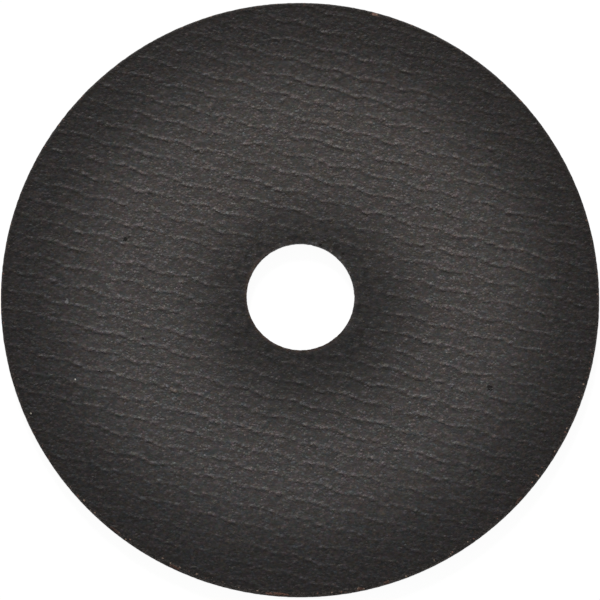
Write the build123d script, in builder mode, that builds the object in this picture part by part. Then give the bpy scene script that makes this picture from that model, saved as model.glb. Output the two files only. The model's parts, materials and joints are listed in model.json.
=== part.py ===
"""Flat cutting disc, resin bonded, 125 x 2.5 x 22.23 mm, pressed and baked in one piece.

The disc lies on its lower face. The origin is the centre of the bore at that face,
and +Z is the spindle's axis, towards the face that shows.
"""

import os
from math import cos, radians

from build123d import *

# Driving dimensions, in millimetres
disc_diameter = 125.0
disc_thickness = 2.5
bore_diameter = 22.23

# Edges as the mould and the trimming leave them
rim_edge_radius = 0.40
bore_edge_radius = 0.20

# Flakes lost from the rim's upper edge, where the grain under the skin is bare:
# the place round the rim in degrees from +X, and the length along the rim
flake_depth = 0.15
rim_flakes = (
    (265.6, 4.9),
    (232.0, 2.8),
    (245.2, 2.4),
    (316.8, 2.0),
    (75.4, 1.5),
    (286.6, 1.4),
    (328.2, 1.4),
    (281.4, 1.3),
    (212.8, 1.1),
)

disc_radius = disc_diameter / 2
bore_radius = bore_diameter / 2
edge_slope = cos(radians(45))

os.makedirs("parts", exist_ok=True)

# The disc is one turned form: a long thin section, from the bore's wall to the rim,
# carried once round the spindle's axis.
with BuildPart() as abrasive_disc:
    with BuildSketch(Plane.XZ) as section:
        with Locations((bore_radius, 0)):
            Rectangle(disc_radius - bore_radius, disc_thickness, align=(Align.MIN, Align.MIN))
        fillet(section.vertices().group_by(Axis.X)[0], bore_edge_radius)
        fillet(section.vertices().group_by(Axis.X)[-1], rim_edge_radius)
    revolve(axis=Axis.Z)

    # Each flake is a shallow scoop that bites into the rounded edge along its slope.
    # The larger the scoop's radius, the longer the bite for the same depth.
    for place, length in rim_flakes:
        rim_falls_away = edge_slope / disc_radius
        scoop_radius = 1 / (2 * flake_depth / (length / 2) ** 2 - rim_falls_away)
        reach = (rim_edge_radius - flake_depth + scoop_radius) * edge_slope
        with Locations((0, 0, disc_thickness - rim_edge_radius + reach)):
            with PolarLocations(disc_radius - rim_edge_radius + reach, 1, start_angle=place):
                Sphere(scoop_radius, mode=Mode.SUBTRACT)

abrasive_disc.part.label = "abrasive_disc"
export_step(abrasive_disc.part, "parts/abrasive_disc.step")

walls = abrasive_disc.faces().filter_by(GeomType.CYLINDER).sort_by(SortBy.RADIUS)
flakes = abrasive_disc.faces().filter_by(GeomType.SPHERE)
print("volume", round(abrasive_disc.part.volume, 1), "mm3")
print("bore wall", round(walls[0].bounding_box().size.Z, 3), "mm long")
print("rim wall", round(walls[-1].bounding_box().size.Z, 3), "mm high, with", len(flakes), "flakes")
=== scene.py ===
# %% [markdown]
# # A flat cutting disc, seen on its plain black face
#
# The real disc is one pressed and baked body: abrasive grain and resin, with a woven
# glass mesh just under a black resin skin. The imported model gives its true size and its
# section. What it lacks is the surface. The mesh shows through the skin as wavy ridges,
# the grain gives the skin a fine tooth, and the skin is missing where flakes broke off
# the rim. This lesson models one new piece with that surface, in the place of the packed
# node, and gives it its finish.

# %% Load the frame and read its sizes
import json
from math import atan2, cos, degrees, pi, radians, sin

import bmesh
import bpy
from mathutils import Matrix, Vector

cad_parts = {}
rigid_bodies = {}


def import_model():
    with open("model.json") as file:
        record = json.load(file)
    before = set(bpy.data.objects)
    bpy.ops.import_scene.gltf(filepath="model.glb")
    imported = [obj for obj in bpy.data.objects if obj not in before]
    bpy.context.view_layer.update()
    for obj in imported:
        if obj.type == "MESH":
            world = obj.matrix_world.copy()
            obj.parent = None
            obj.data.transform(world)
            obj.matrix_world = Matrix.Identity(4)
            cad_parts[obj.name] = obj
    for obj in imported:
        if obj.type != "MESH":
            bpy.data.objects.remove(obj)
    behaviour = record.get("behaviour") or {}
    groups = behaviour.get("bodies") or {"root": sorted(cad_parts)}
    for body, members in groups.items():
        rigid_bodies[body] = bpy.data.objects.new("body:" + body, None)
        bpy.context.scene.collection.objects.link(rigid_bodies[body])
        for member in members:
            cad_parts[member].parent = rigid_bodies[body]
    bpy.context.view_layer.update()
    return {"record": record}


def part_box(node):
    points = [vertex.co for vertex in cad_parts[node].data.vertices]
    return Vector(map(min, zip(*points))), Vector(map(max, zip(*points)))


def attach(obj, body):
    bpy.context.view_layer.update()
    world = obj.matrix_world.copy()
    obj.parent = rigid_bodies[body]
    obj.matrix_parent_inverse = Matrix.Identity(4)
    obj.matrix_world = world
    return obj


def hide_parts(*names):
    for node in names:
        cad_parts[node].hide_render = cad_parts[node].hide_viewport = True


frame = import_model()

MM = 0.001
disc_low, disc_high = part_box("abrasive_disc")
bore = next(mount for mount in frame["record"]["mounts"] if mount["name"] == "bore")
disc_radius = (disc_high.x - disc_low.x) / 2 / MM
disc_thickness = (disc_high.z - disc_low.z) / MM
bore_radius = bore["dims"]["r_mm"]
bore_edge_radius = (disc_thickness - bore["dims"]["length_mm"]) / 2
rim_edge_radius = 0.40
print("disc radius", round(disc_radius, 2), "thickness", round(disc_thickness, 2), "mm")
print("bore radius", bore_radius, "with an edge radius of", round(bore_edge_radius, 2), "mm")

# %% [markdown]
# ## The camera
#
# The photograph looks almost straight down. Its outline is an ellipse that is 0.7 %
# shorter one way than the other, which gives a tilt of 7 degrees, and the place of the
# bore inside it gives the distance. The camera is turned so that +Y is up in the
# picture. A track-to constraint hardly settles that turn for a camera that looks almost
# straight down, so the three axes are written out as a matrix.

# %% Place the camera
photo_size = 600
sensor_width = 36
focal_length_in_pixels = 3030.5
tilt_from_above = radians(7.0)
turn_of_tilt = radians(-10.1)
camera_distance = 632.0
camera_target = Vector((-0.142, -0.783, disc_thickness))

towards_camera = Vector((
    sin(tilt_from_above) * sin(turn_of_tilt),
    -sin(tilt_from_above) * cos(turn_of_tilt),
    cos(tilt_from_above),
))
picture_right = Vector((0, 1, 0)).cross(towards_camera).normalized()
picture_up = towards_camera.cross(picture_right)
camera_turn = Matrix((picture_right, picture_up, towards_camera)).transposed()

bpy.ops.object.camera_add(
    location=(camera_target + towards_camera * camera_distance) * MM,
    rotation=camera_turn.to_euler(),
)
camera = bpy.context.object
camera.name = "camera"
camera.data.sensor_width = sensor_width
camera.data.lens = focal_length_in_pixels * sensor_width / photo_size
bpy.context.scene.camera = camera
print("lens", round(camera.data.lens, 1), "mm at", camera_distance, "mm")

# %% [markdown]
# ## The edges of the body
#
# The rim and the bore are turned forms. A spin of the section would make them, and so
# would a bevel on a plain ring, but a bevel gives uneven rows where it meets a face that
# isn't made of quads. Here each edge is drawn out of one circle: the circle is extruded
# a little at a time, round the upper edge, down the wall and round the lower edge. That
# leaves a clean loop at each face, with rows close enough to carry the grain.


# %% Draw the rim and the bore out of circles
def select_nothing():
    for item in bpy.context.selected_objects:
        item.select_set(False)


def select_only(piece):
    select_nothing()
    piece.select_set(True)
    bpy.context.view_layer.objects.active = piece


def edge_section(face_radius, wall_radius, rounding_rows, wall_rows):
    """The section of one edge, as (radius, height) from the upper face to the lower one."""
    rounding = abs(wall_radius - face_radius)
    upper = []
    for row in range(rounding_rows + 1):
        angle = pi / 2 * row / rounding_rows
        radius = face_radius + (wall_radius - face_radius) * sin(angle)
        upper.append((radius, disc_thickness - rounding * (1 - cos(angle))))
    lower = [(radius, disc_thickness - height) for radius, height in reversed(upper)]
    wall_top = upper[-1][1]
    wall_bottom = lower[0][1]
    wall = []
    for row in range(1, wall_rows):
        height = wall_top + (wall_bottom - wall_top) * row / wall_rows
        wall.append((wall_radius, height))
    return upper + wall + lower


def draw_edge(name, points_round, section):
    first_radius, first_height = section[0]
    select_nothing()
    bpy.ops.mesh.primitive_circle_add(
        vertices=points_round, radius=first_radius * MM, location=(0, 0, first_height * MM)
    )
    edge = bpy.context.object
    edge.name = name
    bpy.ops.object.transform_apply(location=True)
    bpy.ops.object.mode_set(mode="EDIT")
    for (radius, height), (next_radius, next_height) in zip(section, section[1:]):
        growth = next_radius / radius
        bpy.ops.mesh.extrude_edges_move()
        bpy.ops.transform.resize(value=(growth, growth, 1), center_override=(0, 0, 0))
        bpy.ops.transform.translate(value=(0, 0, (next_height - height) * MM))
    bpy.ops.object.mode_set(mode="OBJECT")
    print(name, len(edge.data.polygons), "faces")
    return edge


rim_face_radius = disc_radius - rim_edge_radius
bore_face_radius = bore_radius + bore_edge_radius
rim_section = edge_section(rim_face_radius, disc_radius, rounding_rows=4, wall_rows=5)
bore_section = edge_section(bore_face_radius, bore_radius, rounding_rows=3, wall_rows=6)
rim = draw_edge("rim", points_round=900, section=rim_section)
bore_wall = draw_edge("bore_wall", points_round=240, section=bore_section)

# %% [markdown]
# ## The mesh under the skin
#
# The glass mesh has thick weft yarns, 3.88 mm apart, which show through the skin as
# ridges, and thin warp yarns that cross them every 2.38 mm. Its pattern repeats every four
# warp yarns. These steps were measured on the photograph, with the camera's tilt taken
# out, so the ridges lie where the real ones do. A place becomes a column and a row of
# the weave by two dot products.

# %% Measure the weave
mesh_origin = Vector((-0.140, -0.766, 0))
warp_repeat = Vector((9.205, -2.403, 0))
weft_step = Vector((-1.037, -3.740, 0))


def counted_along(step, other):
    """The vector whose dot product with a place counts how many steps away it is."""
    across = Vector((other.y, -other.x, 0))
    return across / across.dot(step)


column_counter = counted_along(warp_repeat, weft_step)
row_counter = counted_along(weft_step, warp_repeat)
ridge_direction = atan2(warp_repeat.y, warp_repeat.x)
across_ridges = row_counter.normalized()
row_distance = 1 / row_counter.length
print("ridges", round(row_distance, 2), "mm apart")
print("ridges turned", round(degrees(ridge_direction), 1), "degrees from +X")

# %% [markdown]
# ## The two faces
#
# Each face is a grid that is turned to lie along the ridges, with cells twice as long as
# they are wide. A ridge is only 0.7 mm wide, so the rows of cells are drawn together
# where one passes and stand wider apart between two. That shows the ridges sharply with
# half the cells of an even grid. The lower face isn't in view and gets a coarser grid. It
# is made in the same way and then turned over, because the piece of mesh under it is laid
# from the other side, at an angle of its own.

# %% Add a grid for each face and cut it to the ring
rows_across_disc = 33
crest_row = 0.46
gathering = 0.35
grid_margin = 0.25
lower_mesh_turn = radians(52)
full_turn = 2 * pi


def select_in_mesh(piece, kind, belongs):
    """Selects the vertices, edges or faces that belong, and stays in edit mode."""
    select_only(piece)
    bpy.ops.object.mode_set(mode="EDIT")
    kinds = ("verts", "edges", "faces")
    bpy.context.tool_settings.mesh_select_mode = [kind == one for one in kinds]
    bpy.ops.mesh.select_all(action="DESELECT")
    mesh = bmesh.from_edit_mesh(piece.data)
    for element in getattr(mesh, kind):
        if belongs(element):
            element.select_set(True)
    bmesh.update_edit_mesh(piece.data)


def leaves_the_ring(face):
    inner = bore_face_radius + grid_margin
    outer = rim_face_radius - grid_margin
    distances = [vertex.co.xy.length / MM for vertex in face.verts]
    return min(distances) < inner or max(distances) > outer


def add_face_grid(name, cells_across_row, cell_length):
    """A ring of cells at nought, with its rows drawn together along the ridges."""
    grid_size = rows_across_disc * row_distance
    select_nothing()
    bpy.ops.mesh.primitive_grid_add(
        x_subdivisions=round(grid_size / cell_length),
        y_subdivisions=rows_across_disc * cells_across_row,
        size=grid_size * MM,
        rotation=(0, 0, ridge_direction),
    )
    grid = bpy.context.object
    grid.name = name
    bpy.ops.object.transform_apply(rotation=True)
    most_shift = gathering * row_distance / full_turn
    for vertex in grid.data.vertices:
        place = vertex.co / MM
        row = row_counter.dot(place - mesh_origin)
        shift = most_shift * sin(full_turn * (row - crest_row))
        vertex.co -= across_ridges * shift * MM
    select_in_mesh(grid, "faces", leaves_the_ring)
    bpy.ops.mesh.delete(type="FACE")
    bpy.ops.object.mode_set(mode="OBJECT")
    print(name, len(grid.data.polygons), "cells")
    return grid


upper_face = add_face_grid("upper_face", cells_across_row=12, cell_length=0.70)
upper_face.location.z = disc_thickness * MM
bpy.ops.object.transform_apply(location=True)

lower_face = add_face_grid("lower_face", cells_across_row=8, cell_length=1.0)
lower_face.rotation_euler = (pi, 0, ridge_direction + lower_mesh_turn)
bpy.ops.object.transform_apply(rotation=True)

# %% [markdown]
# The grids end in steps, a quarter of a millimetre short of the loops. The four parts
# are joined, and each gap between steps and loop is filled with triangles. The seams
# are then merged, so that the disc is one closed body with its faces outwards.

# %% Join the parts and close the gaps
select_nothing()
for part in (rim, bore_wall, lower_face, upper_face):
    part.select_set(True)
bpy.context.view_layer.objects.active = upper_face
bpy.ops.object.join()
disc = bpy.context.object
disc.name = "disc"
disc.data.name = "disc"

middle_height = disc_thickness / 2
middle_radius = (disc_radius + bore_radius) / 2


def at_the_open_edge(edge, above, outside):
    place = edge.verts[0].co / MM
    if not (edge.is_boundary or edge.is_wire):
        return False
    return (place.z > middle_height) == above and (place.xy.length > middle_radius) == outside


for above in (True, False):
    for outside in (True, False):
        select_in_mesh(disc, "edges", lambda edge: at_the_open_edge(edge, above, outside))
        bpy.ops.mesh.fill(use_beauty=True)
bpy.ops.mesh.select_all(action="SELECT")
bpy.ops.mesh.remove_doubles(threshold=0.001 * MM)
bpy.ops.mesh.normals_make_consistent(inside=False)
body = bmesh.from_edit_mesh(disc.data)
open_edges = sum(len(edge.link_faces) != 2 for edge in body.edges)
triangle_count = sum(len(face.verts) - 2 for face in body.faces)
volume = body.calc_volume() / MM**3
bpy.ops.object.mode_set(mode="OBJECT")
print("closed body:", open_edges, "open edges,", triangle_count, "triangles")
print("volume", round(volume), "mm3")

# %% [markdown]
# ## Flakes off the rim
#
# Nine flakes have broken off the rim's upper edge, where the brown grain lies bare. They
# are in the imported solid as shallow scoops, and their places and lengths are the same
# here. A Boolean with nine spheres would cut them too, but it would need very fine
# spheres and leave slivers. Pushing the vertices that lie inside each sphere out to its
# surface gives the same scoop and keeps the even mesh.

# %% Press the flakes into the rim
flake_depth = 0.15
rim_flakes = (
    # turn in degrees, length in mm, how bare
    (265.6, 4.9, 1.00),
    (232.0, 2.8, 0.35),
    (245.2, 2.4, 0.60),
    (316.8, 2.0, 0.40),
    (75.4, 1.5, 0.85),
    (286.6, 1.4, 0.50),
    (328.2, 1.4, 0.15),
    (281.4, 1.3, 0.60),
    (212.8, 1.1, 0.40),
)
edge_slope = cos(radians(45))

beside_rim = rim_face_radius - 1
select_in_mesh(disc, "verts", lambda vertex: vertex.co.xy.length / MM > beside_rim)
body = bmesh.from_edit_mesh(disc.data)
for turn, length, bareness in rim_flakes:
    scoop_radius = 1 / (2 * flake_depth / (length / 2) ** 2 - edge_slope / disc_radius)
    reach = (rim_edge_radius - flake_depth + scoop_radius) * edge_slope
    from_axis = disc_radius - rim_edge_radius + reach
    centre = Vector((
        from_axis * cos(radians(turn)),
        from_axis * sin(radians(turn)),
        disc_thickness - rim_edge_radius + reach,
    ))
    pushed = 0
    for vertex in body.verts:
        if not vertex.select:
            continue
        away = vertex.co / MM - centre
        inside = scoop_radius - away.length
        if inside > 0:
            vertex.co = (centre + away.normalized() * scoop_radius) * MM
            pushed += 1
    print("flake at", turn, "degrees:", pushed, "vertices pushed in")
bmesh.update_edit_mesh(disc.data)
bpy.ops.object.mode_set(mode="OBJECT")

# %% [markdown]
# ## Formulas made of nodes
#
# The ridges are wanted twice: as real relief in the mesh, and as finer bump in the
# finish, where they must fall on the same places. Both are node trees, and the Math and
# Noise nodes are the same in both, so one set of functions can write the formula into
# either tree. A small class lets a node's output be added and multiplied like a number,
# which keeps the formulas readable.


# %% Write sums and noise as nodes
class Formula:
    """A node's output that can be used in sums like a number."""

    def __init__(self, tree, socket):
        self.tree = tree
        self.socket = socket

    def calculate(self, operation, *others):
        return make_node(self.tree, "ShaderNodeMath", (self, *others), operation=operation)

    def __add__(self, other):
        return self.calculate("ADD", other)

    def __sub__(self, other):
        return self.calculate("SUBTRACT", other)

    def __rsub__(self, other):
        return self * -1 + other

    def __mul__(self, other):
        return self.calculate("MULTIPLY", other)

    def squared(self):
        return self.calculate("MULTIPLY", self)

    def within(self, low, high):
        return self.calculate("MAXIMUM", low).calculate("MINIMUM", high)

    def step(self, low, high, start=0, end=1):
        """Rises smoothly from start, at low, to end, at high."""
        values = (self, low, high, start, end)
        return make_node(self.tree, "ShaderNodeMapRange", values, interpolation_type="SMOOTHSTEP")

    __radd__ = __add__


def plug(tree, value, socket):
    if isinstance(value, Formula):
        tree.links.new(value.socket, socket)
    else:
        socket.default_value = value


def make_node(tree, kind, values=(), output=0, **settings):
    """Adds a node, sets it up, feeds its inputs in order or by name, and gives an output."""
    node = tree.nodes.new(kind)
    for name, setting in settings.items():
        setattr(node, name, setting)
    named = values.items() if isinstance(values, dict) else enumerate(values)
    for key, value in named:
        plug(tree, value, node.inputs[key])
    return Formula(tree, node.outputs[output])


def vector_math(operation, place, *others, output="Vector"):
    values = (place, *others)
    tree = place.tree
    return make_node(tree, "ShaderNodeVectorMath", values, output=output, operation=operation)


def scaled(tree, vector, factor):
    values = {"Vector": vector, "Scale": factor}
    return make_node(tree, "ShaderNodeVectorMath", values, operation="SCALE")


def in_millimetres(tree, socket):
    return scaled(tree, Formula(tree, socket), 1 / MM)


def along_axis(place, axis):
    return vector_math("DOT_PRODUCT", place, axis, output="Value")


def height_of(place):
    return along_axis(place, Vector((0, 0, 1)))


def distance_from_axis(place):
    flat = vector_math("MULTIPLY", place, (1, 1, 0))
    return vector_math("LENGTH", flat, output="Value")


def noise(place, size, seed, detail=2):
    """Soft noise about nought, mostly within a quarter, with features of a size in mm."""
    apart = Vector((seed * 37.1, seed * -19.7, seed * 11.3))
    moved = vector_math("ADD", place, apart)
    values = {"Vector": moved, "Scale": 1 / size, "Detail": detail}
    return make_node(place.tree, "ShaderNodeTexNoise", values) - 0.5


print("formulas can now be written into a node tree")

# %% [markdown]
# ## The imprint of the mesh
#
# Where a weft yarn lies over the warp, it presses up a float: a long narrow swell with a
# flat top. Four floats in a row make up one repeat of a ridge, each at its own level, so
# the ridge goes down the disc in small steps. Between the ridges two low round swells
# show where the warp yarns cross. Each swell is one line of the list below, in columns,
# rows and millimetres.
#
# No two floats of the real mesh are quite alike. Noise bends the ridges a little and makes
# them stronger and fainter. A White Noise texture gives one chance value to all places
# with the same whole numbers, so the numbers of a float and its ridge give that float a
# height and a row of its own. Up close each ridge is a string of short knobs. Those are
# finer than the mesh's cells, so they are only asked for in the bump.

# %% Write the imprint as a formula
ridge_height = 0.109
floats = (
    # column, row, half length, half width, height
    (0.185, 0.380, 0.92, 0.42, 1.05),
    (0.435, 0.316, 1.18, 0.36, 1.02),
    (0.690, 0.388, 0.88, 0.41, 1.08),
    (0.924, 0.488, 1.16, 0.36, 1.12),
)
crossings = (
    (0.438, 0.692, 0.66, 0.68, 0.80),
    (0.938, 1.005, 0.75, 0.70, 0.62),
)

# How far floats differ from each other, and where one gives way to the next
unlike_heights = 0.6
unlike_rows = 0.06
first_float_starts = 0.22
row_starts = -0.1

# How noise bends the ridges: its size in mm, and its reach in columns or rows
drift_size = 16
column_drift = 0.13
row_drift = 0.10
waver_size = 3
column_waver = 0.05
wiggle_size = 1.15
row_wiggle = 0.19
knob_size = 0.7
knob_shift = 0.20

# How noise makes them stronger and fainter
patch_size = 28
patch_strength = 0.7
wiggle_strength = 3.1
knob_strength = 3.6
faintest = 0.1
strongest = 1.85

# The imprint is fainter near the bore and near the rim, between these radii
full_from_bore = (11.5, 25)
full_up_to_rim = (42, 60)
left_at_bore = 0.26
left_at_rim = 0.48

# The uneven skin, and the radii between which it is coarser or finer
broad_lump_size = 3.5
broad_lump_height = 0.142
small_lump_size = 1.4
small_lump_height = 0.208
coarse_from_bore = (12, 20)
fine_up_to_rim = (38, 54)
coarseness_at_bore = 2
coarseness_at_rim = 0.6


def from_nearest(count, centre):
    """How far a count is from the nearest repeat of a centre, from -0.5 to 0.5."""
    return (count - centre + 0.5).calculate("FRACT") - 0.5


def swell(column, row, form, flat_top):
    """One swell of the imprint: a soft hill, or one with a flat top and steep ends."""
    middle_column, middle_row, half_length, half_width, height = form
    along = from_nearest(column, middle_column) * (warp_repeat.length / half_length)
    across = from_nearest(row, middle_row) * (row_distance / half_width)
    spread = along.squared()
    if flat_top:
        spread = spread.squared()
    return ((spread + across.squared()) * -1).calculate("EXPONENT") * height


def chances_of_float(column, row):
    """Two chance values, from -0.5 to 0.5, that stay the same over each float."""
    tree = column.tree
    float_number = (column * len(floats) - first_float_starts).calculate("FLOOR")
    ridge_number = (row - row_starts).calculate("FLOOR")
    numbers = make_node(tree, "ShaderNodeCombineXYZ", (float_number, ridge_number))
    settings = {"output": "Color", "noise_dimensions": "2D"}
    chance = make_node(tree, "ShaderNodeTexWhiteNoise", (numbers,), **settings)
    return along_axis(chance, (0, 1, 0)) - 0.5, along_axis(chance, (0, 0, 1)) - 0.5


def mesh_imprint(place, knobbly=0):
    """The height of the imprint in mm, over a place in mm on the upper face."""
    from_origin = vector_math("SUBTRACT", place, mesh_origin)
    column = along_axis(from_origin, column_counter)
    column = column + noise(place, drift_size, seed=1, detail=0) * column_drift
    column = column + noise(place, waver_size, seed=2, detail=0) * column_waver
    row = along_axis(from_origin, row_counter)
    row = row + noise(place, drift_size, seed=3, detail=0) * row_drift
    row = row + noise(place, wiggle_size, seed=4) * row_wiggle
    row = row + noise(place, knob_size, seed=19, detail=1) * knobbly * knob_shift
    own_height, own_row = chances_of_float(column, row)
    row_of_float = row + own_row * unlike_rows
    swells = sum(swell(column, row_of_float, form, flat_top=True) for form in floats)
    swells = swells * (own_height * unlike_heights + 1)
    swells = swells + sum(swell(column, row, form, flat_top=False) for form in crossings)
    strength = noise(place, patch_size, seed=7, detail=0) * patch_strength
    strength = strength + noise(place, wiggle_size, seed=5) * wiggle_strength + 1
    strength = strength + noise(place, knob_size, seed=20, detail=1) * knobbly * knob_strength
    strength = strength.within(faintest, strongest)
    return swells * strength * in_the_open(place) * ridge_height


def in_the_open(place):
    """1 over most of the face, less near the bore and the rim, where the skin is smoother."""
    from_axis = distance_from_axis(place)
    beyond_bore = from_axis.step(*full_from_bore, start=left_at_bore)
    return beyond_bore * from_axis.step(*full_up_to_rim, start=1, end=left_at_rim)


def skin_unevenness(place):
    """The uneven skin between the ridges, in mm: coarser at the bore, finer at the rim."""
    from_axis = distance_from_axis(place)
    near_bore = from_axis.step(*coarse_from_bore, start=coarseness_at_bore, end=1)
    near_rim = from_axis.step(*fine_up_to_rim, start=1, end=coarseness_at_rim)
    broad = noise(place, broad_lump_size, seed=8) * broad_lump_height
    small = noise(place, small_lump_size, seed=9) * small_lump_height
    return (broad + small) * (near_bore * near_rim)


print(len(floats), "floats and", len(crossings), "crossings in each repeat of the imprint")

# %% [markdown]
# ## Relief in the mesh
#
# A Displace modifier reads only Blender's old textures, which can't hold the formula, so
# a Geometry Nodes modifier moves the points. It moves them inwards only: the crests of
# the ridges touch the true size of the disc and all else lies below, which keeps the
# model inside its packed size. Towards the rim the skin climbs a little, to meet the
# rounded edge without a step. Round the edges it ends raggedly, and coarse grain takes the
# place of the imprint. The bore's wall is worn back a tenth of a millimetre.

# %% Give the mesh its relief
highest_relief = 0.22
skin_level = 0.05
climb_to_rim = 0.06
climb_between = (52, 61.5)
rim_grain_depth = 0.10
bore_grain_depth = 0.15
bore_wear = 0.10
least_depth = 0.002
most_chipped = Vector((0.26, -0.97, 0))

# The skin wraps round each edge and ends raggedly, this far below the face
skin_ends = 0.25
grain_starts = 0.45
ragged_size = 0.6
ragged_by = 1.2
frayed_at_rim = 0.35
frayed_at_bore = 0.1
frayed_more_where_chipped = 0.15

# The open grain of the walls: its sizes, its weights and its middle level
coarse_wall_grain = 0.8
coarse_weight = 1.6
fine_wall_grain = 0.4
fine_weight = 0.7
middle_level = 0.35


def upper_side_of(place):
    """Maps a place on the lower face to the place in the weave that it was made from."""
    values = {"Vector": place, "Angle": -ridge_direction - lower_mesh_turn}
    turned = make_node(place.tree, "ShaderNodeVectorRotate", values, rotation_type="Z_AXIS")
    mirrored = vector_math("MULTIPLY", turned, (1, -1, 1))
    on_lower_face = height_of(place).calculate("LESS_THAN", middle_height)
    values = {"Factor": on_lower_face, 4: place, 5: mirrored}
    return make_node(place.tree, "ShaderNodeMix", values, output=1, data_type="VECTOR")


def chipped_side(place):
    """1 on the side of the rim that is chipped most, and 0 on the far side."""
    return along_axis(place, most_chipped / disc_radius).step(0, 0.7)


def ends_of_skin(place):
    """How far a place belongs to the rim and to the bore, each from 0 to 1."""
    ragged_radius = distance_from_axis(place) + noise(place, ragged_size, seed=21) * ragged_by
    from_middle = (height_of(place) - middle_height).calculate("ABSOLUTE")
    wall = from_middle.step(middle_height - skin_ends, middle_height - grain_starts)
    outside = ragged_radius.calculate("GREATER_THAN", middle_radius)
    rim_radius = ragged_radius + chipped_side(place) * frayed_more_where_chipped
    rim_side = rim_radius.step(rim_face_radius - frayed_at_rim, rim_face_radius)
    rim_side = rim_side.calculate("MAXIMUM", wall * outside)
    frayed_radius = bore_face_radius + frayed_at_bore
    bore_side = ragged_radius.step(bore_radius, frayed_radius, start=1, end=0)
    bore_side = bore_side.calculate("MAXIMUM", wall * (1 - outside))
    return rim_side, bore_side


def wall_grain(place):
    """Coarse grain from 0, proud, to 1, deep, as where grains have broken out."""
    coarse = noise(place, coarse_wall_grain, seed=10) * coarse_weight
    fine = noise(place, fine_wall_grain, seed=11, detail=1) * fine_weight
    return (coarse + fine + middle_level).within(0, 1)


relief = bpy.data.node_groups.new("disc_relief", "GeometryNodeTree")
relief.interface.new_socket("Geometry", in_out="INPUT", socket_type="NodeSocketGeometry")
relief.interface.new_socket("Geometry", in_out="OUTPUT", socket_type="NodeSocketGeometry")
incoming = make_node(relief, "NodeGroupInput")
position = make_node(relief, "GeometryNodeInputPosition")
outwards = make_node(relief, "GeometryNodeInputNormal")

place = in_millimetres(relief, position.socket)
face_place = upper_side_of(place)
rim_side, bore_side = ends_of_skin(place)
face_height = mesh_imprint(face_place) + skin_unevenness(face_place) + skin_level
face_height = face_height + distance_from_axis(place).step(*climb_between) * climb_to_rim
face_depth = highest_relief - face_height.within(0, highest_relief)
wall_depth = wall_grain(place) * (rim_side * rim_grain_depth + bore_side * bore_grain_depth)
wall_depth = wall_depth + bore_side * bore_wear
depth = face_depth * (1 - rim_side - bore_side) + wall_depth + least_depth

offset = scaled(relief, outwards, depth * -MM)
moved = make_node(relief, "GeometryNodeSetPosition", {"Geometry": incoming, "Offset": offset})
outgoing = relief.nodes.new("NodeGroupOutput")
relief.links.new(moved.socket, outgoing.inputs[0])

select_only(disc)
modifier = disc.modifiers.new("relief", "NODES")
modifier.node_group = relief
bpy.ops.object.modifier_apply(modifier=modifier.name)
bpy.ops.object.shade_smooth()
heights = [vertex.co.z / MM for vertex in disc.data.vertices]
print("relief from", round(min(heights), 3), "to", round(max(heights), 3), "mm high")

# %% [markdown]
# ## The finish: tone
#
# The skin is black resin, paler and warm grey in a broad ring. It is darker round the bore and
# towards the rim, with a last dark line where the skin ends. A plain radial gradient would look
# airbrushed, so noise makes the edge of each zone waver and mottles the skin round the bore. The
# ring is also a little warmer on one side. Right at the bore a paler line runs round it, browner
# on one side.

# %% Start the finish with its tone
finish = bpy.data.materials.new("bonded_abrasive")
finish.use_nodes = True
nodes = finish.node_tree
shader = nodes.nodes["Principled BSDF"]
coordinates = make_node(nodes, "ShaderNodeTexCoord", output="Object")
place = in_millimetres(nodes, coordinates.socket)
face_place = upper_side_of(place)
radius = distance_from_axis(place)
rim_side, bore_side = ends_of_skin(place)
wall = rim_side + bore_side

# How much darker, paler or more uneven each zone is
darker_at_hub = 0.605
darker_at_rim = 0.652
darker_in_last_line = 0.25
paler_at_bore = 0.68
uneven_at_hub = 1.8

# The radii between which each zone comes or goes
hub_edge = (11, 31)
outer_edge = (37.5, 59.5)
last_line_edge = (59.8, 61.9)
bore_line_edge = (bore_radius + 0.15, bore_radius + 1.1)
mottled_edge = (13, 23)

hub_centre = Vector((1.1, -2.5, 0))
waver_of_zones = 14
most_wavering = 2.6
mottle_size = 1.0

wavering = noise(place, waver_of_zones, seed=12, detail=1) * most_wavering
from_hub = distance_from_axis(vector_math("SUBTRACT", place, hub_centre)) + wavering
hub_zone = from_hub.step(*hub_edge, start=darker_at_hub, end=0)
outer_zone = (radius + wavering).step(*outer_edge, end=darker_at_rim)
last_line = radius.step(*last_line_edge, end=darker_in_last_line)
bore_line = radius.step(*bore_line_edge, start=1, end=0)
mottling = radius.step(*mottled_edge, start=uneven_at_hub, end=0)
mottling = mottling * noise(place, mottle_size, seed=24, detail=1)
tone = (1 - hub_zone) * (1 - outer_zone) * (1 - last_line)
tone = tone * (mottling + bore_line * paler_at_bore + 1)

browner_at_bore = Vector((-0.7, -0.7, 0))
brown_side = along_axis(place, browner_at_bore / bore_radius).step(-0.6, 0.6)
warmer_side = Vector((0.30, 0.95, 0))
most_warmth = 0.024
warmth = along_axis(place, warmer_side / disc_radius) * most_warmth
print("tone made of", len(nodes.nodes), "nodes")
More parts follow.
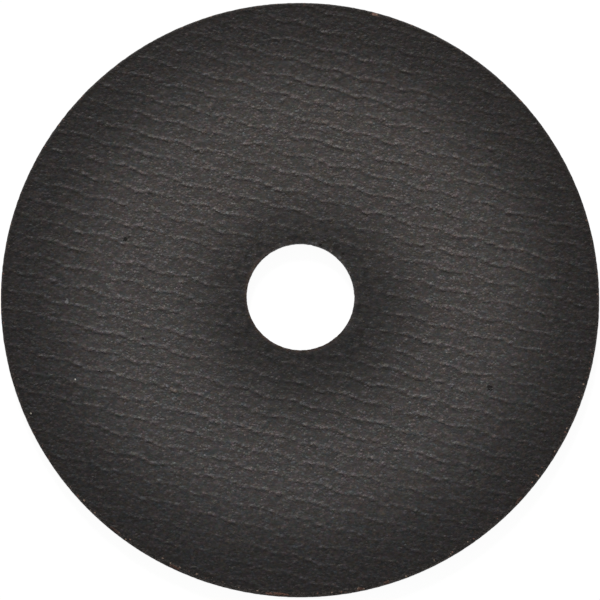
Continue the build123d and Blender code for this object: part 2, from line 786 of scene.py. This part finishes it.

# %% [markdown]
# ## The finish: grain in the skin
#
# Under a thin skin each abrasive grain shows as a small round rise, and some get painted glints:
# they are painted paler than the rest. Noise has no such separate grains, but the cells of a
# Voronoi texture do, and each cell also has colours by chance that can make one grain paler,
# redder or bluer than the next. The grains are drawn out a little along the yarns, as the mat was
# when it was pressed. The crests of the ridges are painted paler and warmer, a painted highlight
# where they catch the lamp.


# %% Scatter grains through the skin
def grains(place, size, seed):
    """Round grains of a size in mm: a height from 0 to 1, and three chance values."""
    tree = place.tree
    apart = Vector((seed * 13.7, seed * 29.3, seed * -7.9))
    moved = vector_math("ADD", place, apart)
    cells = tree.nodes.new("ShaderNodeTexVoronoi")
    cells.inputs["Scale"].default_value = 1 / size
    plug(tree, moved, cells.inputs["Vector"])
    chances = tree.nodes.new("ShaderNodeSeparateColor")
    tree.links.new(cells.outputs["Color"], chances.inputs[0])
    height = 1 - Formula(tree, cells.outputs["Distance"]).squared() * 2
    return height.within(0, 1), [Formula(tree, chance) for chance in chances.outputs]


grain_size = 0.44
fine_grain_size = 0.28
shortening = 0.2
rubbed_edge = (36, 50)
left_where_rubbed = 0.48
rubbed_off_at_hub = 0.75
open_patch_size = 2.2

along_ridges = warp_repeat.normalized()
shortened = along_axis(place, along_ridges) * -shortening
drawn_place = vector_math("ADD", place, scaled(nodes, along_ridges, shortened))
grain_height, (grain_chance, grain_red, grain_blue) = grains(drawn_place, grain_size, seed=31)
fine_height, (fine_chance, fine_red, fine_blue) = grains(drawn_place, fine_grain_size, seed=32)
rubbed_at_rim = radius.step(*rubbed_edge, start=1, end=left_where_rubbed)
rubbed_at_hub = 1 - hub_zone * rubbed_off_at_hub
ridges = mesh_imprint(face_place, knobbly=rubbed_at_rim)
openness = (noise(place, open_patch_size, seed=22, detail=1) * 2.8 + 1).within(0.35, 1.8)
print("grain and ridges bring it to", len(nodes.nodes), "nodes")

# %% [markdown]
# Those heights and chance values now give the skin its brightness and its hue. Each grain has a
# shade of its own. The palest quarter of them get painted glints as pale dots, and a few fine
# ones get painted glints as bright specks. Red and blue drift by chance from grain to grain and
# in soft patches, more so in the dark zones. They are multiplied with the skin's plain colour,
# channel by channel.

# %% Colour the skin
skin_colour = (0.0534, 0.0482, 0.0459)
plain_brightness = 0.87
# How much paler the crests of the ridges are painted: a painted highlight where they catch the
# lamp
painted_highlight_on_ridges = 1.6

# Grains by their chance value, how much brighter their painted glints are than the skin, and each
# grain's own shade
glinting_quarter = (0.75, 1.0)
glinting_few = (0.96, 1.0)
grain_glint_gain = 0.7
fine_grain_glint_gain = 0.55
speck_glint_gain = 1.3
shade_of_grain = 0.33
shade_of_fine_grain = 0.10
more_shade_outside = 1.1

# How far red and blue drift: by the grain, by the fine grain and in soft patches
red_amounts = (0.22, 0.18, 0.34)
blue_amounts = (0.20, 0.16, 0.27)
hue_patch_size = 1.0

# How much redder, or less blue, some places are as a whole
# The crests are also painted redder: a painted warm highlight
warm_highlight_on_ridges = 0.25
redder_outside = 0.03
bluer_outside = 0.01
redder_last_line = 0.2
redder_bore_line = 0.35
less_blue_bore_line = 0.2


def hue_drift(grain_chance, fine_chance, seed, amounts):
    """How far one colour drifts: by the grain, by the fine grain, and in soft patches."""
    by_grain, by_fine_grain, by_patch = amounts
    patches = noise(place, hue_patch_size, seed=seed, detail=1)
    by_chance = (grain_chance - 0.5) * by_grain + (fine_chance - 0.5) * by_fine_grain
    return by_chance + patches * by_patch


# Painted glints: the palest grains and a few fine specks are painted brighter, standing in for
# grain that catches the lamp
grain_glints = grain_chance.step(*glinting_quarter) * grain_height * grain_glint_gain
fine_grain_glints = fine_chance.step(*glinting_quarter) * fine_height * fine_grain_glint_gain
pale = (grain_glints + fine_grain_glints) * (openness * 0.5 + 0.5)
speck_glints = fine_chance.step(*glinting_few) * fine_height * rubbed_at_rim * speck_glint_gain
own_shade = (grain_chance - 0.5) * shade_of_grain + (fine_chance - 0.5) * shade_of_fine_grain
own_shade = own_shade * (outer_zone * more_shade_outside + 1)
paleness = (own_shade + pale * rubbed_at_rim) * rubbed_at_hub + speck_glints
# The crests are painted paler here: a painted highlight
brightness = (plain_brightness + paleness + ridges * painted_highlight_on_ridges) * tone

red_drift = hue_drift(grain_red, fine_red, seed=14, amounts=red_amounts)
redness = red_drift * (outer_zone * 0.6 + 1) + ridges * warm_highlight_on_ridges + warmth + 1
redness = redness + radius.step(50, 60) * redder_outside + last_line * redder_last_line
redness = redness + bore_line * brown_side * redder_bore_line
blue_drift = hue_drift(grain_blue, fine_blue, seed=15, amounts=blue_amounts)
blueness = blue_drift * (outer_zone * 0.9 + hub_zone * 0.7 + 1) - warmth + 1
blueness = blueness + outer_zone * bluer_outside - last_line * redder_last_line
blueness = blueness - bore_line * brown_side * less_blue_bore_line
skin = make_node(nodes, "ShaderNodeCombineColor", (
    brightness * redness * skin_colour[0],
    brightness * skin_colour[1],
    brightness * blueness * skin_colour[2],
))
print("the skin's colour brings it to", len(nodes.nodes), "nodes")

# %% [markdown]
# ## The finish: bare grain at the edges
#
# The rim and the bore have no skin. On their walls the grains lie open, grey and dark brown.
# Along the upper edge of the rim the skin is chipped grain by grain, most of all on one side, and
# there a few brown and tan ones show among black pits. The grain on the corner itself is painted
# paler, most on that chipped side, away from the lamp. This is painted light, standing in for the
# light that the white surround throws on the edge. On the nine flakes fresh brown grain shows,
# more of it on some than on others. A Color Ramp with constant steps turns the chance value of
# each Voronoi cell into one of these colours, so one layer of cells serves for all four mixtures.


# %% Colour the bare grain
def mix_colours(tree, share, first, second):
    values = {"Factor": share, 6: first, 7: second}
    return make_node(tree, "ShaderNodeMix", values, output=2, data_type="RGBA")


def colour_by_chance(tree, chance, steps):
    ramp = tree.nodes.new("ShaderNodeValToRGB")
    ramp.color_ramp.interpolation = "CONSTANT"
    while len(ramp.color_ramp.elements) < len(steps):
        ramp.color_ramp.elements.new(1)
    for element, (position, colour) in zip(ramp.color_ramp.elements, steps):
        element.position = position
        element.color = (*colour, 1)
    plug(tree, chance, ramp.inputs[0])
    return Formula(tree, ramp.outputs[0])


black_pit = (0.009, 0.008, 0.007)
dark_grey = (0.019, 0.0165, 0.0155)
dark_brown = (0.031, 0.0255, 0.0228)
grey_brown = (0.090, 0.080, 0.075)
brown = (0.115, 0.058, 0.042)
tan = (0.165, 0.120, 0.090)

open_grain_size = 0.32
open_height, (open_chance, loss_chance, _) = grains(place, open_grain_size, seed=33)
wall_colour = colour_by_chance(nodes, open_chance, (
    (0.00, black_pit),
    (0.22, dark_grey),
    (0.66, dark_brown),
    (0.98, brown),
))
chipped_colour = colour_by_chance(nodes, open_chance, (
    (0.00, black_pit),
    (0.46, dark_grey),
    (0.78, dark_brown),
    (0.95, brown),
    (0.972, tan),
))
# Painted light: paler grain for the corner of the rim, standing in for light from the white
# surround
painted_light_corner_colour = colour_by_chance(nodes, open_chance, (
    (0.00, dark_brown),
    (0.30, grey_brown),
    (0.97, tan),
))
flake_colour = colour_by_chance(nodes, open_chance, (
    (0.00, dark_brown),
    (0.15, brown),
    (0.90, tan),
))
print("four mixtures of grain bring it to", len(nodes.nodes), "nodes")

# %% [markdown]
# The mixtures take the skin's place one over the other: on the walls, along the chipped upper
# edge, on the corner, where the paler grain is painted light, and on the flakes. On the chipped
# edge a second chance value decides which cells have lost their skin, and more have the nearer
# they lie to the corner. Each flake is an ellipse along the rim, and noise makes its outline
# ragged.

# %% Lay the bare grain where the skin is lost
chipped_edge_height = (0.06, 0.20)
flake_height = (0.20, 0.35)
losing_skin = (-0.9, 0.2)
most_lost = 0.7
painted_light_corner_edge = (-0.02, 0.22)
flake_radius = rim_face_radius - 0.02
flake_half_width = 0.36
flake_edge = (0.8, 1.2)
raggedness_size = 0.4
most_raggedness = 1.2

raggedness = noise(place, raggedness_size, seed=16, detail=1) * most_raggedness
below_face = disc_thickness - height_of(place)
upper_edge = below_face.step(*chipped_edge_height, start=1, end=0)
from_corner = radius - rim_face_radius
chipped = chipped_side(place)
skin_lost = (from_corner + chipped * 0.3).step(*losing_skin, end=most_lost)
lost_grain = (skin_lost - loss_chance).step(0, 0.08)
chipped_edge = lost_grain * upper_edge * (chipped * 0.75 + 0.25)
# Painted light on the corner, strongest on the chipped side away from the lamp
painted_light_on_corner = from_corner.step(*painted_light_corner_edge) * upper_edge * (chipped * 0.7 + 0.3)

flake = 0
for turn, length, bareness in rim_flakes:
    outwards = Vector((cos(radians(turn)), sin(radians(turn)), 0))
    along_rim = Vector((-outwards.y, outwards.x, 0))
    from_flake = vector_math("SUBTRACT", place, outwards * flake_radius)
    along = along_axis(from_flake, along_rim / (length / 2))
    across = along_axis(from_flake, outwards / flake_half_width)
    spread = along.squared() + across.squared() + raggedness
    flake = spread.step(*flake_edge, start=bareness, end=0).calculate("MAXIMUM", flake)
flake = flake * below_face.step(*flake_height, start=1, end=0)

colour = mix_colours(nodes, wall, skin, wall_colour)
colour = mix_colours(nodes, chipped_edge, colour, chipped_colour)
colour = mix_colours(nodes, painted_light_on_corner, colour, painted_light_corner_colour)
colour = mix_colours(nodes, flake, colour, flake_colour)
print(len(rim_flakes), "flakes bring it to", len(nodes.nodes), "nodes")

# %% [markdown]
# ## The finish: single marks
#
# A few marks can be told apart on the real face: two white grains, a grey chip, dark pits and
# small chips round the bore. The first white grain is painted with its glint, and a dark spot
# under it is a painted shadow. Each is one line in a list, with its place, its size and its
# colour, and a loop lays them over the skin as soft round spots.

# %% Lay the single marks over the skin
white_grain_and_glint = (0.66, 0.60, 0.49)
pale_grain = (0.47, 0.44, 0.40)
grey_chip = (0.084, 0.081, 0.083)
bore_chip = (0.068, 0.066, 0.070)
single_marks = (
    # x, y, radius, colour
    # painted shadow: this dark spot lies under the white grain, on its side away from the lamp
    (-55.80, -25.0, 0.38, black_pit),
    (-55.9, -24.6, 0.19, white_grain_and_glint),
    (-46.8, -17.5, 0.22, pale_grain),
    (-48.75, -1.3, 0.40, grey_chip),
    (-48.65, -0.75, 0.28, grey_chip),
    (-36.6, 11.8, 0.50, black_pit),
    (-35.8, 12.3, 0.42, dark_grey),
    (39.4, -19.2, 0.62, black_pit),
    (-32.8, -9.0, 0.29, black_pit),
    (-41.8, -15.9, 0.22, black_pit),
    (2.5, 11.25, 0.28, bore_chip),
    (3.2, 11.10, 0.32, bore_chip),
    (4.1, 10.8, 0.34, black_pit),
    (8.1, 8.2, 0.42, bore_chip),
    (8.9, 8.9, 0.40, black_pit),
    (10.2, 5.1, 0.26, grey_chip),
    (-2.8, 11.4, 0.32, dark_brown),
    (-7.4, 9.0, 0.30, dark_brown),
)
sure_within = 0.6
gone_beyond = 1.2

pits_and_painted_shadow = 0
for x, y, size, mark_colour in single_marks:
    away = vector_math("SUBTRACT", place, (x, y, disc_thickness))
    distance = vector_math("LENGTH", away, output="Value")
    ragged_distance = distance + raggedness * size
    spot = ragged_distance.step(size * sure_within, size * gone_beyond, start=1, end=0)
    colour = mix_colours(nodes, spot, colour, (*mark_colour, 1))
    # the painted shadow under the white grain is laid in black_pit, so it is pressed in with the
    # pits
    if mark_colour == black_pit:
        pits_and_painted_shadow = pits_and_painted_shadow + spot
plug(nodes, colour, shader.inputs["Base Color"])
print(len(single_marks), "marks bring it to", len(nodes.nodes), "nodes")

# %% [markdown]
# ## The finish: surface
#
# The relief in the mesh carries the ridges and the broad unevenness. The bump repeats the
# ridges, because the mesh alone rounds their steep sides off, and adds what is finer than
# its cells: the knobs of each ridge, the tooth of the skin and each single grain. All
# heights are in millimetres, so one Bump node takes their sum at its true scale. The skin
# is thicker in some patches than in others and hides more of the grain, and the dark
# zones round the bore and at the rim are rubbed smoother.

# %% Give the surface its bump and gloss
ridge_sharpness = 0.85
tooth_size = 0.6
tooth_height = 0.09
grain_rise = 0.066
least_grain_rise = 0.01
fine_grain_rise = 0.025
open_grain_rise = 0.10
pit_depth = 0.12
skin_roughness = 0.52
wall_roughness = 0.2
skin_shine = 0.18

tooth = noise(drawn_place, tooth_size, seed=17, detail=1) * tooth_height
skin_grain = grain_height * (grain_chance * grain_rise + least_grain_rise)
skin_grain = skin_grain + fine_height * fine_chance * fine_grain_rise
skin_grain = skin_grain * rubbed_at_hub * rubbed_at_rim
skin_grain = skin_grain + tooth * (rubbed_at_hub * 0.3 + outer_zone * 0.5 + 0.7)
skin_height = ridges * ridge_sharpness + skin_grain * openness
open_grain = open_height * open_chance * open_grain_rise
bump_height = skin_height * (1 - wall) + open_grain * wall - pits_and_painted_shadow * pit_depth
values = {"Height": bump_height, "Distance": MM}
bump = make_node(nodes, "ShaderNodeBump", values, output="Normal")
plug(nodes, bump, shader.inputs["Normal"])

roughness = skin_roughness + noise(place, 5, seed=18, detail=0) * 0.1
roughness = roughness + wall * wall_roughness
plug(nodes, roughness, shader.inputs["Roughness"])
shader.inputs["Specular IOR Level"].default_value = skin_shine

disc.data.materials.clear()
disc.data.materials.append(finish)
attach(disc, "root")
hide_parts("abrasive_disc")
print("finish made of", len(nodes.nodes), "nodes")

# %% [markdown]
# ## Floor
#
# The disc lies on white paper. A white floor would need very strong light to look white
# in the picture, and that light would wash out the disc. Instead the floor's own colour
# is pale, and to rays that show it directly, it glows white. A tenth of its plain colour
# is kept, so that the shadow of the disc still shows on it. It lies a little below the
# disc, so that no two faces share a plane.


# %% Lay the floor
floor_size = 6.0
floor_gap = 0.02
paper_white = 0.9
glow_strength = 1.05
glow_share = 0.9


def seen_directly(tree):
    """1 for rays that show the background itself: to the camera, mirrored or through glass."""
    paths = tree.nodes.new("ShaderNodeLightPath")
    seen = Formula(tree, paths.outputs["Is Camera Ray"])
    for kind in ("Is Glossy Ray", "Is Transmission Ray"):
        seen = seen.calculate("MAXIMUM", Formula(tree, paths.outputs[kind]))
    return seen


select_nothing()
bpy.ops.mesh.primitive_plane_add(size=floor_size, location=(0, 0, -floor_gap * MM))
floor = bpy.context.object
floor.name = "floor"
paper = bpy.data.materials.new("white_floor")
paper.use_nodes = True
nodes = paper.node_tree
paper_shader = nodes.nodes["Principled BSDF"]
paper_shader.inputs["Base Color"].default_value = (paper_white, paper_white, paper_white, 1)
paper_shader.inputs["Roughness"].default_value = 0.9
paper_shader.inputs["Specular IOR Level"].default_value = 0.0
glow = nodes.nodes.new("ShaderNodeEmission")
glow.inputs["Strength"].default_value = glow_strength
mix = nodes.nodes.new("ShaderNodeMixShader")
plug(nodes, seen_directly(nodes) * glow_share, mix.inputs[0])
nodes.links.new(paper_shader.outputs[0], mix.inputs[1])
nodes.links.new(glow.outputs[0], mix.inputs[2])
nodes.links.new(mix.outputs[0], nodes.nodes["Material Output"].inputs[0])
floor.data.materials.append(paper)
print("floor of", floor_size, "m, glowing", glow_share, "of the way to white")

# %% [markdown]
# ## Light
#
# The photo was taken in a soft white surround, with the main light coming low over the
# disc's top edge: each ridge is bright on its upper side and dark on its lower one. So
# the world gives an even fill, and one area lamp stands 30 degrees above the horizon.
# Their levels add up to one on a level surface, at which a colour renders as it is
# written. A lamp's watts spread over pi times its distance squared, less where the light
# comes low, and a level of one takes pi watts a square metre. Low over the horizon the
# world is white to rays that show it directly.

# %% Light it
fill_level = 0.43
key_level = 1 - fill_level
key_elevation = radians(30)
key_turn = radians(100)
key_distance = 3.0
key_size = 0.7
horizon_edge = (0.15, 0.35)

world = bpy.data.worlds.new("studio")
bpy.context.scene.world = world
world.use_nodes = True
nodes = world.node_tree
direction = make_node(nodes, "ShaderNodeTexCoord", output="Generated")
height = make_node(nodes, "ShaderNodeSeparateXYZ", (direction,), output="Z")
near_horizon = height.step(*horizon_edge, start=1, end=0)
strength = seen_directly(nodes) * near_horizon * (1 - fill_level) + fill_level
background = nodes.nodes["Background"]
background.inputs["Color"].default_value = (1, 1, 1, 1)
plug(nodes, strength, background.inputs["Strength"])

bpy.ops.object.light_add(type="AREA", location=(
    key_distance * cos(key_elevation) * cos(key_turn),
    key_distance * cos(key_elevation) * sin(key_turn),
    key_distance * sin(key_elevation),
))
key = bpy.context.object
key.name = "key_light"
key.rotation_euler = key.location.to_track_quat("Z", "Y").to_euler()
key.data.size = key_size
key.data.energy = key_level * pi * pi * key_distance**2 / sin(key_elevation)
bpy.context.scene.view_settings.view_transform = "Standard"
print("fill", fill_level, "and key", round(key_level, 2), "of a plain level")
print("key light of", round(key.data.energy, 1), "W")
